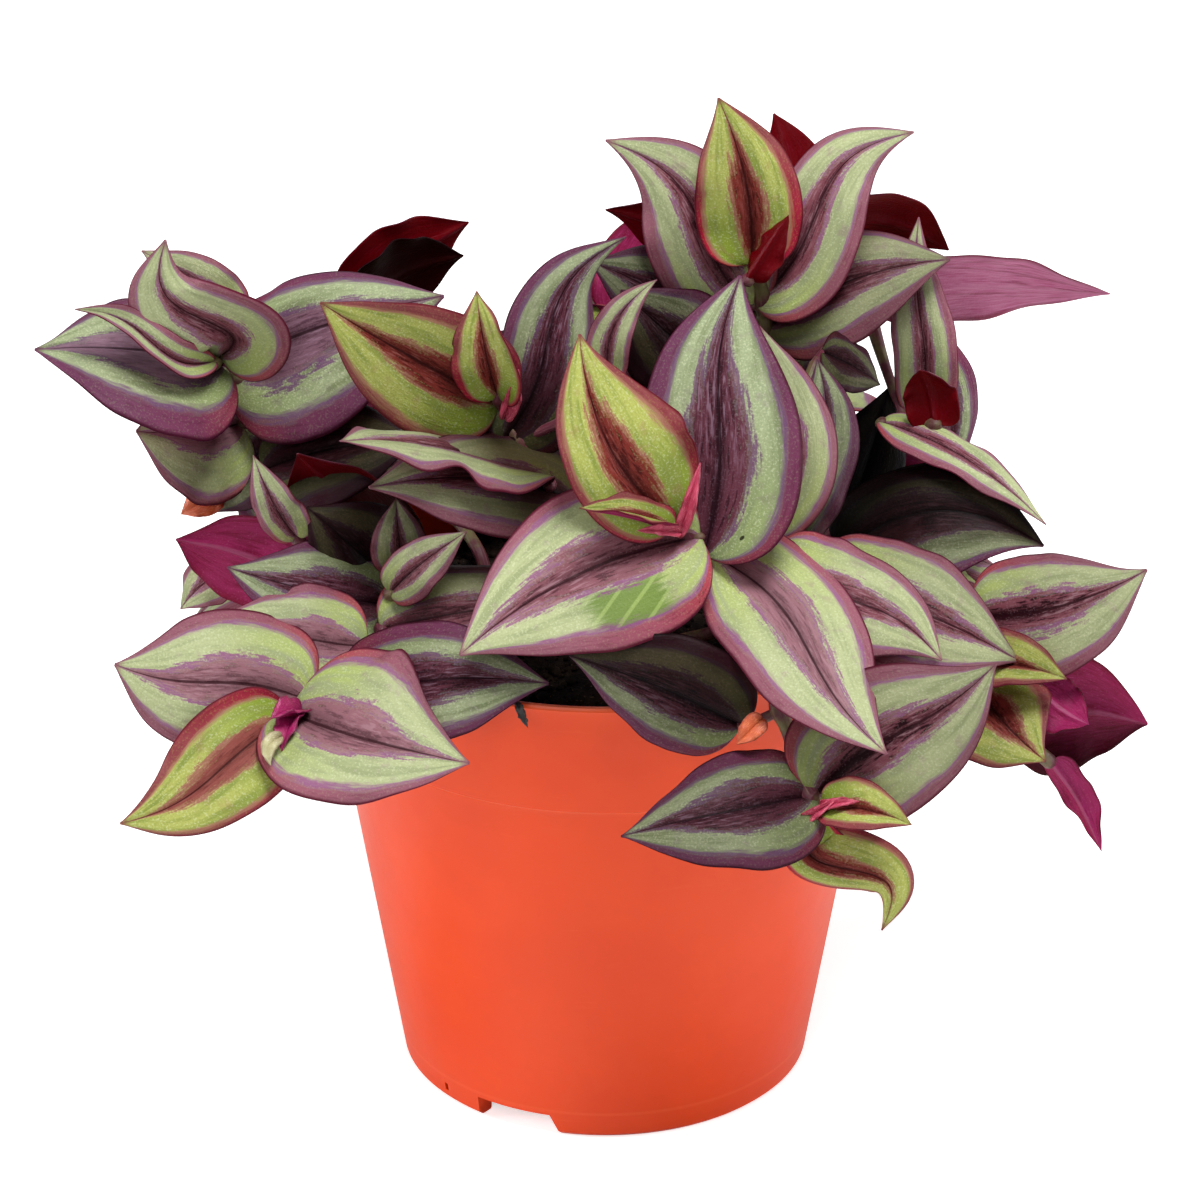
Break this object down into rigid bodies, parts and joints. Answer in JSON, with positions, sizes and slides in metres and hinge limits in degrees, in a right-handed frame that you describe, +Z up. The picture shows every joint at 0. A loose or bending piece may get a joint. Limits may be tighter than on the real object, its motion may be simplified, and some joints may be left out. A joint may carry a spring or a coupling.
{
  "type": "potted plant",
  "caption": "Bushy trailing plant with striped silver and purple leaves, growing from dark soil in a plain tapered orange plastic pot.",
  "frame": {"origin": "on the surface the pot stands on, under the middle of the whole plant's bounding box; the pot's own axis is 2 mm to +X and 4 mm to -Y of it", "axes": "+Z up; -Y is the front, which the picture shows; +X is to the viewer's right"},
  "size_m": [0.2217, 0.1879, 0.21],
  "materials": {
    "pot": "satin orange plastic",
    "soil": "damp crumbly peat",
    "stem": "smooth, fleshy",
    "leaf_young": "smooth, slightly glossy",
    "leaf_middle": "smooth, slightly glossy",
    "leaf_old": "smooth with a silvery sheen",
    "leaf_underside": "smooth, deep purple red"
  },
  "bodies": {
    "root": {"leaf_crown_1": "leaf_young", "leaf_crown_2": "leaf_middle", "leaf_crown_3": "leaf_middle", "leaf_crown_4": "leaf_middle", "leaf_crown_5": "leaf_underside", "leaf_front_1": "leaf_middle", "leaf_front_2": "leaf_young", "leaf_front_3": "leaf_old", "leaf_front_4": "leaf_middle", "leaf_front_5": "leaf_young", "leaf_front_6": "leaf_middle", "leaf_front_7": "leaf_old", "leaf_front_9": "leaf_middle", "leaf_inner_left_7": "leaf_old", "leaf_inner_left_9": "leaf_underside", "leaf_lower_left_1": "leaf_middle", "leaf_lower_left_2": "leaf_young", "leaf_lower_left_3": "leaf_middle", "leaf_lower_left_4": "leaf_middle", "leaf_lower_left_5": "leaf_old", "leaf_lower_right_1": "leaf_middle", "leaf_lower_right_2": "leaf_young", "leaf_lower_right_4": "leaf_underside", "leaf_mid_left_2": "leaf_young", "leaf_mid_left_3": "leaf_young", "leaf_mid_left_4": "leaf_old", "leaf_mid_left_5": "leaf_middle", "leaf_mid_left_6": "leaf_middle", "leaf_right_1": "leaf_middle", "leaf_right_2": "leaf_old", "leaf_right_3": "leaf_underside", "leaf_right_4": "leaf_middle", "leaf_right_7": "leaf_middle", "leaf_rim_1": "leaf_old", "leaf_rim_2": "leaf_old", "leaf_rim_3": "leaf_middle", "leaf_rim_4": "leaf_young", "leaf_rim_5": "leaf_young", "leaf_upper_left_1": "leaf_underside", "leaf_upper_left_2": "leaf_old", "leaf_upper_left_3": "leaf_middle", "leaf_upper_left_4": "leaf_middle", "leaf_upper_left_6": "leaf_old", "leaf_upper_left_7": "leaf_middle", "pot": "pot", "soil": "soil", "stem_back": "stem", "stem_back_left": "stem", "stem_back_right": "stem", "stem_crown": "stem", "stem_front": "stem", "stem_inner_left": "stem", "stem_left_side": "stem", "stem_lower_left": "stem", "stem_lower_right": "stem", "stem_mid_left": "stem", "stem_right": "stem", "stem_right_side": "stem", "stem_rim": "stem", "stem_upper_left": "stem"}
  },
  "joints": []
}
